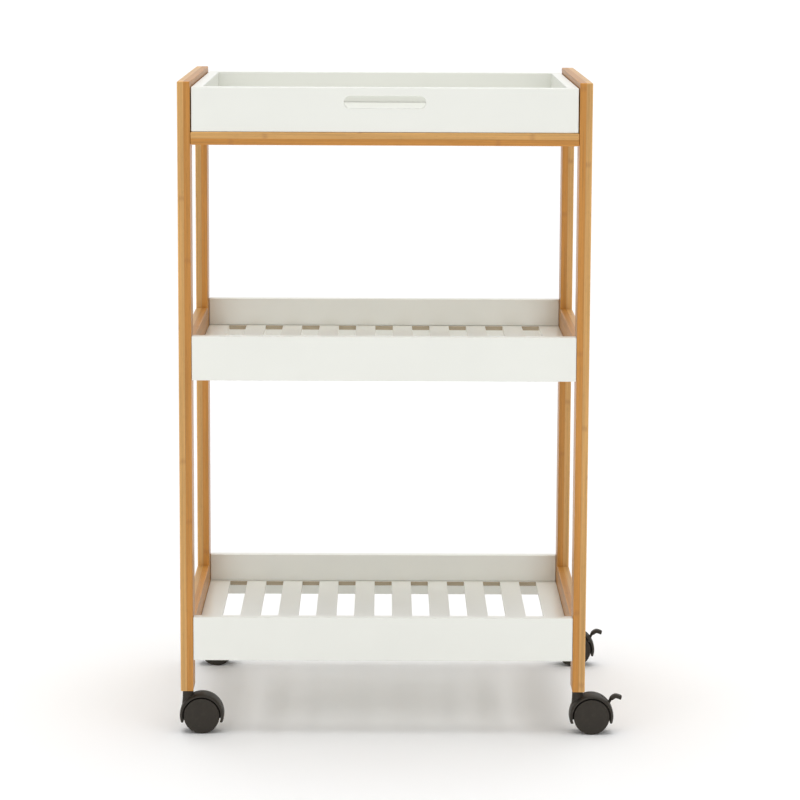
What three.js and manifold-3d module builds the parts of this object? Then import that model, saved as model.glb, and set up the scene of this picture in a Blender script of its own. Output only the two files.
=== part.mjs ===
// Three-tier rolling utility cart: a bamboo frame, two slotted white shelves,
// a lift-off white tray and four twin-wheel swivel casters, two of them braked.
//
// Units are millimetres. +X is the cart's right, +Y its back, +Z up.
// The origin is the bottom centre of the whole object's box. The casters all trail
// to the right, so the cart's own middle plane stands a little left of X = 0.

import * as THREE from 'three';
import { mergeVertices } from 'three/addons/utils/BufferGeometryUtils.js';
import Module from 'manifold-3d';

const wasm = await Module();
wasm.setup();

// ---------- driving dimensions ----------

const GAP = 0.3;                      // between pieces that touch
const OVERCUT = 1;                    // how far a cutter runs past the face it opens
const SIDES = { screw: 10, small: 12, boss: 20, hood: 36 };  // of the round pieces
const WIDTH = 450;                    // over the legs' outer faces
const DEPTH = 354;                    // front face to back face
const BAR = { thick: 14, wide: 36 };  // the bamboo stock that every bar is cut from
const LEG = { bottom: 50, top: 726.5 };

const BOARD = { thick: 12, tall: 49 };            // shelf front and back boards
const PANEL = { thick: 5, rise: 12, inGroove: 5.5 };  // rise: board's foot to panel's underside
const SLOTS = { count: 9, pitch: 44, width: 20.7, margin: 5 };
const SHELF_BOTTOMS = { middle: 400, bottom: 85.5 };
const RAIL_DROP = 8.4;                // shelf rail's top below the boards' top

const CROSS_RAIL_TOP = 672;

const TRAY = {
  width: 419.6, depth: 352, wall: 12, tall: 48.4, bottom: CROSS_RAIL_TOP + GAP,
  floorRise: 8, floorThick: 5, floorInGroove: 4.5,
  floorCells: 3,                      // each way, so that the middle one is clear of the walls
};
const HANDLE = { width: 88.8, tall: 13.5, belowTop: 16 };

const SCREW = {
  headRadius: 4, headDepth: 2.4, rim: 0.4, recess: 0.1,  // recess: head below the leg's face
  shankRadius: 2.2, length: 46, tipLength: 4, tipEdge: 1,
  socketRadius: 1.7, socketDepth: 2, aboveMiddle: 8,     // above the board's middle height
  holeSpare: 2,                                          // hole past the screw's tip
};
const HOLE_EASE = 0.35;               // radius a hole has over what goes in it

const CASTER = { trail: 15.6, wheelRadius: 20, halfWidth: 13 };
const WHEEL = {
  inner: 3.4, outer: 12.7, rimInner: 17, hubRadius: 4.6, web: 2.5, bore: 2.35, edge: 1, sides: 30,
};
const AXLE = { radius: 2, halfLength: 9.6 };
const HOOD = {
  inner: 21.4, outer: 24.8, round: 1.2, from: -18, to: 199, steps: 20,  // the arc, in degrees
  webThick: 6, webFrom: -12, webTo: 194, hubRadius: 6,
  bossRadius: 6, bossFrom: 30, bossTop: 47.9, bossBite: 0.15, boreBottom: 39,
};
const STEM = {
  radius: 3, bevel: 0.8, pinBottom: 39.3, shankTop: 66,
  flangeRadius: 5.5, flangeBottom: 48.2, flangeTop: 49.7,
};
const INSERT = { radius: 4.3, bore: 3.35, top: 66 };
const INSERT_HOLE_TOP = 69;

// Places on a lever are [x, z] from the wheels' centre, and its slot's angles are about it.
const LEVER = {
  bladeWidth: 3, bladeHalfThick: 1.6, padWidth: 9, padHalfThick: 2.3, padFrom: 0.48, steps: 12,
  reach: 34.6, tipHeight: 20.4, bends: [[18.6, 12.8], [22.2, 18.6], [27.2, 21.8]],
  pivot: [12.5, 9.5], trunnionRadius: 1.6, knuckleRadius: 2.4, earRadius: 3,
  shoe: [8.6, 12.7], shoeRadius: 1.4, shoeHalfLength: 7.5,
  slotWidth: 3.8, slotFrom: 27, slotTo: 62, slotRootRadius: 8, slotRootFrom: 12,
  webGap: [24, 74],                   // where a braked hood has no web, for the shoe
};
const ARC_STEP = 5;                   // degrees between the points of a web's or slot's arc

// ---------- places worked out from them ----------

const legX = (WIDTH - BAR.thick) / 2;             // middle of a leg, either side
const legY = (DEPTH - BAR.wide) / 2;              // middle of a leg, front or back
const innerX = WIDTH / 2 - BAR.thick;             // legs' and rails' inner faces
const boardY = (DEPTH - BOARD.thick) / 2;         // middle of a front or back board
const lowestX = -legX + CASTER.trail - HOOD.outer;
const highestX = legX + CASTER.trail + LEVER.reach;
const sides = [['left', -1], ['right', 1]];
const ends = [['front', -1], ['back', 1]];

// ---------- materials ----------

const material = (color, roughness, metalness = 0) =>
  new THREE.MeshStandardMaterial({ color, roughness, metalness });
const BAMBOO = material(0xc8955a, 0.5);
const WHITE_PAINT = material(0xe7e8e2, 0.45);
const BLACK_NYLON = material(0x3e3a36, 0.55);
const ZINC = material(0xb9bcbe, 0.35, 1);

// ---------- geometry helpers ----------

// A closed geometry as a solid that can be joined and cut.
function toSolid(geometry) {
  const bare = geometry.clone();
  bare.deleteAttribute('normal');
  bare.deleteAttribute('uv');
  const merged = mergeVertices(bare, 1e-4);
  const corners = merged.index.array;
  const kept = [];
  for (let i = 0; i < corners.length; i += 3) {
    const [a, b, c] = corners.slice(i, i + 3);
    if (a !== b && b !== c && c !== a) kept.push(a, b, c);
  }
  return new wasm.Manifold(new wasm.Mesh({
    numProp: 3,
    vertProperties: merged.attributes.position.array,
    triVerts: Uint32Array.from(kept),
  }));
}

function toGeometry(solid) {
  const { vertProperties, triVerts } = solid.getMesh();
  const geometry = new THREE.BufferGeometry();
  geometry.setAttribute('position', new THREE.BufferAttribute(vertProperties, 3));
  geometry.setIndex(new THREE.BufferAttribute(triVerts, 1));
  geometry.computeVertexNormals();
  return geometry;
}

// first, joined with the added geometries and cut by the removed ones.
function carve(first, { add = [], remove = [] }) {
  let solid = toSolid(first);
  for (const geometry of add) solid = solid.add(toSolid(geometry));
  for (const geometry of remove) solid = solid.subtract(toSolid(geometry));
  return toGeometry(solid);
}

// A box of a given size about a given middle.
function box(x, y, z, middleX = 0, middleY = 0, middleZ = 0) {
  return new THREE.BoxGeometry(x, y, z).translate(middleX, middleY, middleZ);
}

// A rod along an axis, from one place on it to another.
function rod(axis, radius, from, to, segments = SIDES.small) {
  const geometry = new THREE.CylinderGeometry(radius, radius, to - from, segments);
  geometry.translate(0, (from + to) / 2, 0);
  if (axis === 'x') geometry.rotateZ(-Math.PI / 2);
  if (axis === 'z') geometry.rotateX(Math.PI / 2);
  return geometry;
}

// A profile of [radius, height] points turned about Z, listed from the bottom up the outside.
function turned(profile, segments) {
  const points = profile.map(([radius, height]) => new THREE.Vector2(radius, height));
  return new THREE.LatheGeometry(points, segments).rotateX(Math.PI / 2);
}

// A flat outline in X and Z, given a thickness in Y about Y = 0.
function plate(shape, thickness, curveSegments = SIDES.small) {
  const options = { depth: thickness, bevelEnabled: false, curveSegments };
  const geometry = new THREE.ExtrudeGeometry(shape, options);
  return geometry.translate(0, 0, -thickness / 2).rotateX(Math.PI / 2);
}

function circle(x, z, radius) {
  const shape = new THREE.Shape();
  shape.absarc(x, z, radius, 0, 2 * Math.PI);
  return shape;
}

const cart = new THREE.Group();
cart.position.x = -(lowestX + highestX) / 2;

function place(parent, name, geometry, finish, x = 0, y = 0, z = 0) {
  const mesh = new THREE.Mesh(geometry, finish);
  mesh.name = name;
  mesh.position.set(x, y, z);
  parent.add(mesh);
}

// ---------- bamboo frame ----------

const shelfScrewHeight = (shelfBottom) => shelfBottom + BOARD.tall / 2 + SCREW.aboveMiddle;
const crossScrewHeight = CROSS_RAIL_TOP - BAR.thick / 2;

// A countersunk hole through a leg, entered from its outer face (outward is -1 or 1 in X).
function screwHole(outward, y, z) {
  const half = BAR.thick / 2;
  const radius = SCREW.shankRadius + HOLE_EASE;
  const through = rod('x', radius, -half - OVERCUT, half + OVERCUT);
  const sink = SCREW.headDepth + 2 * HOLE_EASE;
  const mouth = SCREW.headRadius + 2 * HOLE_EASE;
  const cone = new THREE.CylinderGeometry(mouth, radius, sink, SIDES.small);
  cone.translate(0, half - sink / 2 + OVERCUT / 100, 0).rotateZ(-outward * Math.PI / 2);
  return [through, cone].map((geometry) => geometry.translate(0, y, z));
}

function leg(outward, backward) {
  const length = LEG.top - LEG.bottom;
  const holes = [rod('z', INSERT.radius + HOLE_EASE, LEG.bottom - OVERCUT, INSERT_HOLE_TOP)];
  const boardScrewY = backward * (BAR.wide - BOARD.thick) / 2;
  for (const shelfBottom of Object.values(SHELF_BOTTOMS)) {
    holes.push(...screwHole(outward, boardScrewY, shelfScrewHeight(shelfBottom)));
  }
  holes.push(...screwHole(outward, 0, crossScrewHeight));
  const bar = box(BAR.thick, BAR.wide, length, 0, 0, LEG.bottom + length / 2);
  return carve(bar, { remove: holes });
}

for (const [end, backward] of ends) {
  for (const [side, outward] of sides) {
    const bar = leg(outward, backward);
    place(cart, `${end}_${side}_leg`, bar, BAMBOO, outward * legX, backward * legY, 0);
  }
}

const railTops = { top: LEG.top };
for (const [shelf, shelfBottom] of Object.entries(SHELF_BOTTOMS)) {
  railTops[shelf] = shelfBottom + BOARD.tall - RAIL_DROP;
}
const railLength = DEPTH - 2 * BAR.wide - 2 * GAP;
for (const [level, railTop] of Object.entries(railTops)) {
  for (const [side, outward] of sides) {
    const rail = box(BAR.thick, railLength, BAR.wide);
    place(cart, `${level}_${side}_rail`, rail, BAMBOO, outward * legX, 0, railTop - BAR.wide / 2);
  }
}

// Holes in both ends of a board or cross rail, for the screws that come through the legs.
function endHoles(z) {
  const depth = SCREW.length - BAR.thick + SCREW.holeSpare;
  const radius = SCREW.shankRadius + HOLE_EASE;
  return [
    rod('x', radius, innerX - depth, innerX + OVERCUT).translate(0, 0, z),
    rod('x', radius, -innerX - OVERCUT, -innerX + depth).translate(0, 0, z),
  ];
}

const crossLength = 2 * (innerX - GAP);
for (const [end, backward] of ends) {
  const rail = carve(box(crossLength, BAR.wide, BAR.thick), { remove: endHoles(0) });
  place(cart, `${end}_cross_rail`, rail, BAMBOO, 0, backward * legY, crossScrewHeight);
}

// ---------- shelves ----------

// A front or back board, its groove on the inner side (inward is -1 or 1 in Y).
function shelfBoard(inward) {
  const grooveDeep = PANEL.inGroove + GAP;
  const grooveTall = PANEL.thick + 2 * GAP;
  const grooveY = inward * (BOARD.thick + OVERCUT - grooveDeep) / 2;
  const grooveZ = PANEL.rise + PANEL.thick / 2;
  const grooveLong = crossLength + 2 * OVERCUT;
  const groove = box(grooveLong, grooveDeep + OVERCUT, grooveTall, 0, grooveY, grooveZ);
  const board = box(crossLength, BOARD.thick, BOARD.tall, 0, 0, BOARD.tall / 2);
  return carve(board, { remove: [groove, ...endHoles(shelfScrewHeight(0))] });
}

// The shelf's floor: one panel with a row of long slots cut front to back.
function slottedPanel() {
  const openLength = DEPTH - 2 * BOARD.thick;
  const slotLength = openLength - 2 * SLOTS.margin;
  const cutThick = PANEL.thick + 2 * OVERCUT;
  const panel = box(crossLength, openLength + 2 * PANEL.inGroove, PANEL.thick);
  const slots = [];
  for (let i = 0; i < SLOTS.count; i++) {
    const middle = (i - (SLOTS.count - 1) / 2) * SLOTS.pitch;
    slots.push(box(SLOTS.width, slotLength, cutThick, middle, 0, 0));
  }
  return carve(panel, { remove: slots });
}

for (const [shelf, shelfBottom] of Object.entries(SHELF_BOTTOMS)) {
  for (const [end, backward] of ends) {
    const board = shelfBoard(-backward);
    place(cart, `${shelf}_${end}_board`, board, WHITE_PAINT, 0, backward * boardY, shelfBottom);
  }
  const panelHeight = shelfBottom + PANEL.rise + PANEL.thick / 2;
  place(cart, `${shelf}_slotted_panel`, slottedPanel(), WHITE_PAINT, 0, 0, panelHeight);
}

// ---------- lift-off tray ----------

function trayGroove(alongX, alongY, x, y) {
  return box(alongX, alongY, TRAY.floorThick + 2 * GAP, x, y, TRAY.floorRise + TRAY.floorThick / 2);
}

function handleOpening() {
  const radius = HANDLE.tall / 2;
  const half = HANDLE.width / 2 - radius;
  const shape = new THREE.Shape();
  shape.absarc(half, 0, radius, -Math.PI / 2, Math.PI / 2);
  shape.absarc(-half, 0, radius, Math.PI / 2, 1.5 * Math.PI);
  return plate(shape, TRAY.wall + 2 * OVERCUT).translate(0, 0, TRAY.tall - HANDLE.belowTop);
}

const trayGrooveDeep = TRAY.floorInGroove + GAP;
const trayGrooveMiddle = (TRAY.wall + OVERCUT - trayGrooveDeep) / 2;  // from the wall's own middle
const trayWallY = (TRAY.depth - TRAY.wall) / 2;
const trayWallX = (TRAY.width - TRAY.wall) / 2;
const trayInnerX = TRAY.width / 2 - TRAY.wall;
const trayInnerY = TRAY.depth / 2 - TRAY.wall;
const tray = new THREE.Group();
tray.position.z = TRAY.bottom;
cart.add(tray);

for (const [end, backward] of ends) {
  const grooveLong = 2 * (trayInnerX + trayGrooveDeep);
  const cuts = [trayGroove(grooveLong, trayGrooveDeep + OVERCUT, 0, -backward * trayGrooveMiddle)];
  if (end === 'front') cuts.push(handleOpening());
  const wall = box(TRAY.width, TRAY.wall, TRAY.tall, 0, 0, TRAY.tall / 2);
  const grooved = carve(wall, { remove: cuts });
  place(tray, `tray_${end}_wall`, grooved, WHITE_PAINT, 0, backward * trayWallY, 0);
}
for (const [side, outward] of sides) {
  const length = 2 * (trayInnerY - GAP);
  const grooveAcross = trayGrooveDeep + OVERCUT;
  const groove = trayGroove(grooveAcross, length + 2 * OVERCUT, -outward * trayGrooveMiddle, 0);
  const wall = box(TRAY.wall, length, TRAY.tall, 0, 0, TRAY.tall / 2);
  const grooved = carve(wall, { remove: [groove] });
  place(tray, `tray_${side}_wall`, grooved, WHITE_PAINT, outward * trayWallX, 0, 0);
}
const trayFloor = new THREE.BoxGeometry(
  2 * (trayInnerX + TRAY.floorInGroove),
  2 * (trayInnerY + TRAY.floorInGroove),
  TRAY.floorThick,
  TRAY.floorCells,
  TRAY.floorCells,
);
place(tray, 'tray_floor', trayFloor, WHITE_PAINT, 0, 0, TRAY.floorRise + TRAY.floorThick / 2);

// ---------- screws through the legs into the shelf boards ----------

function screw() {
  const tip = -SCREW.length;
  return turned([
    [0, tip],
    [SCREW.shankRadius - SCREW.tipEdge, tip + SCREW.tipEdge],
    [SCREW.shankRadius, tip + SCREW.tipLength],
    [SCREW.shankRadius, -SCREW.headDepth],
    [SCREW.headRadius, -SCREW.rim],
    [SCREW.headRadius, 0],
    [SCREW.socketRadius, 0],
    [SCREW.socketRadius, -SCREW.socketDepth],
    [0, -SCREW.socketDepth],
  ], SIDES.screw);
}

for (const [shelf, shelfBottom] of Object.entries(SHELF_BOTTOMS)) {
  for (const [end, backward] of ends) {
    for (const [side, outward] of sides) {
      const name = `${shelf}_${end}_${side}_screw`;
      const head = outward * (WIDTH / 2 - SCREW.recess);
      const geometry = screw().rotateY(outward * Math.PI / 2);
      place(cart, name, geometry, ZINC, head, backward * boardY, shelfScrewHeight(shelfBottom));
    }
  }
}

// ---------- casters ----------
// A caster's own origin is on the floor below its stem; the wheels' centre is (trail, 0, wheelRadius).

function stem() {
  return turned([
    [0, STEM.pinBottom],
    [STEM.radius - STEM.bevel, STEM.pinBottom],
    [STEM.radius, STEM.pinBottom + STEM.bevel],
    [STEM.radius, STEM.flangeBottom],
    [STEM.flangeRadius, STEM.flangeBottom],
    [STEM.flangeRadius, STEM.flangeTop],
    [STEM.radius, STEM.flangeTop],
    [STEM.radius, STEM.shankTop - STEM.bevel],
    [STEM.radius - STEM.bevel, STEM.shankTop],
    [0, STEM.shankTop],
  ], SIDES.small);
}

function insert() {
  return turned([
    [INSERT.bore, LEG.bottom],
    [INSERT.radius, LEG.bottom],
    [INSERT.radius, INSERT.top],
    [INSERT.bore, INSERT.top],
    [INSERT.bore, LEG.bottom],
  ], SIDES.small);
}

// One wheel, centred on the origin, its plain outer face towards outerSide (-1 or 1) in Y.
// A flat of the faceted tread lies at the bottom, wheelRadius below the centre.
function wheel(outerSide) {
  const radius = CASTER.wheelRadius / Math.cos(Math.PI / WHEEL.sides);
  const profile = [
    [0, WHEEL.outer - WHEEL.web],
    [WHEEL.bore, WHEEL.outer - WHEEL.web],
    [WHEEL.bore, WHEEL.inner],
    [WHEEL.hubRadius, WHEEL.inner],
    [WHEEL.hubRadius, WHEEL.outer - WHEEL.web],
    [WHEEL.rimInner, WHEEL.outer - WHEEL.web],
    [WHEEL.rimInner, WHEEL.inner],
    [radius - WHEEL.edge, WHEEL.inner],
    [radius, WHEEL.inner + WHEEL.edge],
    [radius, WHEEL.outer - WHEEL.edge],
    [radius - WHEEL.edge, WHEEL.outer],
    [0, WHEEL.outer],
  ];
  const points = profile.map(([r, y]) => new THREE.Vector2(r, y));
  const geometry = new THREE.LatheGeometry(points, WHEEL.sides, Math.PI / WHEEL.sides);
  return outerSide < 0 ? geometry.rotateZ(Math.PI) : geometry;
}

const onCircle = (radius, degrees) => {
  const angle = THREE.MathUtils.degToRad(degrees);
  return [radius * Math.cos(angle), radius * Math.sin(angle)];
};

// Points along an arc about the origin, at most ARC_STEP apart.
function arcPoints(radius, from, to) {
  const steps = Math.ceil((to - from) / ARC_STEP);
  const degrees = (i) => from + (to - from) * i / steps;
  return Array.from({ length: steps + 1 }, (_, i) => onCircle(radius, degrees(i)));
}

class HoodArc extends THREE.Curve {
  getPoint(t, target = new THREE.Vector3()) {
    const middle = (HOOD.inner + HOOD.outer) / 2;
    const [x, z] = onCircle(middle, THREE.MathUtils.lerp(HOOD.from, HOOD.to, t));
    return target.set(x, 0, z);
  }
}

// The hood's curved shell: a thin rounded strip swept round the upper wheels.
function hoodShell() {
  const halfThick = (HOOD.outer - HOOD.inner) / 2;
  const halfWide = CASTER.halfWidth;
  const round = HOOD.round;
  const strip = new THREE.Shape();
  strip.absarc(-halfWide + round, -halfThick + round, round, Math.PI, 1.5 * Math.PI);
  strip.absarc(halfWide - round, -halfThick + round, round, 1.5 * Math.PI, 2 * Math.PI);
  strip.absarc(halfWide - round, halfThick - round, round, 0, Math.PI / 2);
  strip.absarc(-halfWide + round, halfThick - round, round, Math.PI / 2, Math.PI);
  return new THREE.ExtrudeGeometry(strip, {
    steps: HOOD.steps, curveSegments: 1, bevelEnabled: false, extrudePath: new HoodArc(),
  });
}

// A sector of the web between the two wheels, from the shell down to the axle.
function webSector(from, to) {
  const sector = new THREE.Shape();
  sector.moveTo(0, 0);
  for (const point of arcPoints((HOOD.inner + HOOD.outer) / 2, from, to)) sector.lineTo(...point);
  return plate(sector, HOOD.webThick);
}

// The whole web with its hub, open where a braked hood's shoe swings.
function hoodWeb(braked) {
  const hub = plate(circle(0, 0, HOOD.hubRadius), HOOD.webThick);
  if (!braked) return [hub, webSector(HOOD.webFrom, HOOD.webTo)];
  const [gapFrom, gapTo] = LEVER.webGap;
  return [hub, webSector(HOOD.webFrom, gapFrom), webSector(gapTo, HOOD.webTo)];
}

// The two ears that hold a brake lever's trunnions, before their slot is cut.
function leverEars() {
  const [px, pz] = LEVER.pivot;
  const angle = Math.atan2(pz, px);
  const reach = (HOOD.inner + HOOD.outer) / 2 - Math.hypot(px, pz);
  const ear = new THREE.Shape();
  ear.absarc(0, 0, LEVER.earRadius, Math.PI / 2, 1.5 * Math.PI);
  ear.lineTo(reach, -LEVER.earRadius).lineTo(reach, LEVER.earRadius);
  return plate(ear, HOOD.webThick).rotateY(-angle).translate(px, 0, pz);
}

// The slot that the lever swings in, through the shell and between the ears.
function leverSlot() {
  const sector = new THREE.Shape();
  const radius = HOOD.outer + 2 * OVERCUT;
  sector.moveTo(...onCircle(LEVER.slotRootRadius, LEVER.slotRootFrom));
  for (const point of arcPoints(radius, LEVER.slotFrom, LEVER.slotTo)) sector.lineTo(...point);
  sector.lineTo(...onCircle(LEVER.slotRootRadius, LEVER.slotTo));
  return plate(sector, LEVER.slotWidth);
}

// A hood centred on the wheels' centre.
function hood(braked) {
  const stemX = -CASTER.trail;
  const axleHeight = CASTER.wheelRadius;
  const bossTop = HOOD.bossTop - axleHeight;
  const wheelSpaces = ends.map(([, y]) => {
    const near = HOOD.webThick / 2;
    const [from, to] = y < 0 ? [-CASTER.halfWidth, -near] : [near, CASTER.halfWidth];
    return rod('y', HOOD.inner - HOOD.bossBite, from, to, SIDES.hood);
  });
  const bossRod = rod('z', HOOD.bossRadius, HOOD.bossFrom - axleHeight, bossTop, SIDES.boss);
  const boss = carve(bossRod.translate(stemX, 0, 0), { remove: wheelSpaces });
  const boreFrom = HOOD.boreBottom - axleHeight;
  const bore = rod('z', STEM.radius + HOLE_EASE, boreFrom, bossTop + OVERCUT);
  const axleHole = rod('y', AXLE.radius + HOLE_EASE, -HOOD.webThick, HOOD.webThick);
  const holes = [bore.translate(stemX, 0, 0), axleHole];
  const web = hoodWeb(braked);
  if (braked) {
    const [px, pz] = LEVER.pivot;
    web.push(leverEars());
    holes.push(leverSlot());
    const trunnionHole = rod('y', LEVER.trunnionRadius + HOLE_EASE, -HOOD.webThick, HOOD.webThick);
    holes.push(trunnionHole.translate(px, 0, pz));
  }
  return carve(hoodShell(), { add: [boss, ...web], remove: holes });
}

// The outline of a strip along a lever's middle line, from a fraction of it to the round tip.
function leverRibbon(middleLine, from, halfThick) {
  const above = [];
  const below = [];
  for (let i = 0; i <= LEVER.steps; i++) {
    const t = from + (1 - from) * i / LEVER.steps;
    const along = middleLine.getTangent(t);
    const across = new THREE.Vector2(-along.y, along.x);
    above.push(middleLine.getPoint(t).addScaledVector(across, halfThick));
    below.push(middleLine.getPoint(t).addScaledVector(across, -halfThick));
  }
  const tip = middleLine.getPoint(1);
  const heading = THREE.MathUtils.radToDeg(middleLine.getTangent(1).angle());
  const outline = new THREE.Shape(above);
  for (const turn of [60, 20, -20, -60]) {
    const [x, z] = onCircle(halfThick, heading + turn);
    outline.lineTo(tip.x + x, tip.y + z);
  }
  for (const point of below.reverse()) outline.lineTo(point.x, point.y);
  return outline;
}

// The flat arm from a lever's pivot to its brake shoe.
function leverArm() {
  const pivot = new THREE.Vector2(...LEVER.pivot);
  const shoe = new THREE.Vector2(...LEVER.shoe);
  const along = shoe.clone().sub(pivot);
  const across = new THREE.Vector2(-along.y, along.x).setLength(LEVER.shoeRadius);
  return new THREE.Shape([
    pivot.clone().add(across),
    pivot.clone().sub(across),
    shoe.clone().sub(across),
    shoe.clone().add(across),
  ]);
}

// A brake lever about the wheels' centre: a blade in the hood's slot, a wide curled pad
// outside, trunnions that it turns on and a shoe that presses on the wheels' rims.
function brakeLever() {
  const places = [LEVER.pivot, ...LEVER.bends, [LEVER.reach - LEVER.padHalfThick, LEVER.tipHeight]];
  const middleLine = new THREE.SplineCurve(places.map(([x, z]) => new THREE.Vector2(x, z)));
  const pad = leverRibbon(middleLine, LEVER.padFrom, LEVER.padHalfThick);
  const blade = leverRibbon(middleLine, 0, LEVER.bladeHalfThick);
  const [px, pz] = LEVER.pivot;
  const [sx, sz] = LEVER.shoe;
  const halfBlade = LEVER.bladeWidth / 2;
  const halfWeb = HOOD.webThick / 2;
  const trunnions = rod('y', LEVER.trunnionRadius, -halfWeb, halfWeb);
  const knuckle = rod('y', LEVER.knuckleRadius, -halfBlade, halfBlade);
  const shoe = rod('y', LEVER.shoeRadius, -LEVER.shoeHalfLength, LEVER.shoeHalfLength);
  return carve(plate(pad, LEVER.padWidth), {
    add: [
      plate(blade, LEVER.bladeWidth),
      plate(leverArm(), LEVER.bladeWidth),
      trunnions.translate(px, 0, pz),
      knuckle.translate(px, 0, pz),
      shoe.translate(sx, 0, sz),
    ],
  });
}

for (const [end, backward] of ends) {
  for (const [side, outward] of sides) {
    const corner = `${end}_${side}`;
    const braked = side === 'right';
    const caster = new THREE.Group();
    caster.position.set(outward * legX, backward * legY, 0);
    cart.add(caster);
    place(caster, `${corner}_leg_insert`, insert(), ZINC);
    place(caster, `${corner}_caster_stem`, stem(), ZINC);
    const swivel = new THREE.Group();
    swivel.position.set(CASTER.trail, 0, CASTER.wheelRadius);
    caster.add(swivel);
    place(swivel, `${corner}_caster_hood`, hood(braked), BLACK_NYLON);
    const axle = rod('y', AXLE.radius, -AXLE.halfLength, AXLE.halfLength);
    place(swivel, `${corner}_caster_axle`, axle, ZINC);
    for (const [face, outerSide] of ends) {
      place(swivel, `${corner}_caster_${face}_wheel`, wheel(outerSide), BLACK_NYLON);
    }
    if (braked) place(swivel, `${corner}_brake_lever`, brakeLever(), BLACK_NYLON);
  }
}

export default cart;
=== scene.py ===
"""A rolling utility cart: bamboo frame, white slotted shelves, lift-off tray and swivel casters.

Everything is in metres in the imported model's frame: +X is the cart's right, +Y its back, +Z up.
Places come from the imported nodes' boxes, and a piece that needs finer shape than its node replaces it.
"""

import math

import bmesh
import bpy
from mathutils import Matrix, Vector


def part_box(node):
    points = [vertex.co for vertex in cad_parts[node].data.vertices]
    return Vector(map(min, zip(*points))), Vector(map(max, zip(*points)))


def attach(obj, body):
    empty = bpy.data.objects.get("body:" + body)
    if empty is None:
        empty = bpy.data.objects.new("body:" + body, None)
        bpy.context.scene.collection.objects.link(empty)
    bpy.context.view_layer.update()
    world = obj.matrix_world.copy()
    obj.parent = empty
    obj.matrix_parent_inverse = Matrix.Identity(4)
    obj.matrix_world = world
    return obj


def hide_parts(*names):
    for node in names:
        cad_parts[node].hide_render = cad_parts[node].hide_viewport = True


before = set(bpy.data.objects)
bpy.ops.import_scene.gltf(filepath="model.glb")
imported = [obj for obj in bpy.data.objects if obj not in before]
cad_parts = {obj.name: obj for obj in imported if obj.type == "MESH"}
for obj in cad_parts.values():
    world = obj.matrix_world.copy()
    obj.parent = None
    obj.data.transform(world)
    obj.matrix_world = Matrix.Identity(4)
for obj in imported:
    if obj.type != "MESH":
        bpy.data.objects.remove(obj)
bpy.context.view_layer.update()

MM = 0.001
WELD = 0.002 * MM             # points nearer than this are one point
SAME_PLACE = 0.01 * MM
FLAT_BELOW = math.radians(0.5)
SHARP_ABOVE = math.radians(50)
BOX_STEPS = 4                 # segments of a rounded box's edges
MOULDED_SMOOTH = 35           # degrees below which an edge is shaded smooth
LEVER_SMOOTH = 45
SCREW_SMOOTH = 30
SIDES = (("left", -1), ("right", 1))
ENDS = (("front", -1), ("back", 1))
CORNERS = [(end, side, out) for end, _ in ENDS for side, out in SIDES]
X, Y, Z = 0, 1, 2


# ---------- camera ----------

CAMERA = {
    "place": (-0.0211, -3.4991, 0.8973),
    "looks_down": 0.1547,
    "turned_right": 0.0055,
    "rolled": 0.0045,
    "sensor": 36,
    "lens": 137.87,
    "sees_to": 100,
}


def make_camera():
    data = bpy.data.cameras.new("camera")
    data.sensor_width = CAMERA["sensor"]
    data.lens = CAMERA["lens"]
    data.clip_end = CAMERA["sees_to"]
    camera = bpy.data.objects.new("camera", data)
    turn = Matrix.Rotation(-CAMERA["turned_right"], 4, "Z")
    tilt = Matrix.Rotation(math.pi / 2 - CAMERA["looks_down"], 4, "X")
    roll = Matrix.Rotation(CAMERA["rolled"], 4, "Z")
    camera.matrix_world = Matrix.Translation(CAMERA["place"]) @ turn @ tilt @ roll
    bpy.context.scene.collection.objects.link(camera)
    bpy.context.scene.camera = camera


# ---------- node graphs ----------


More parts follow.
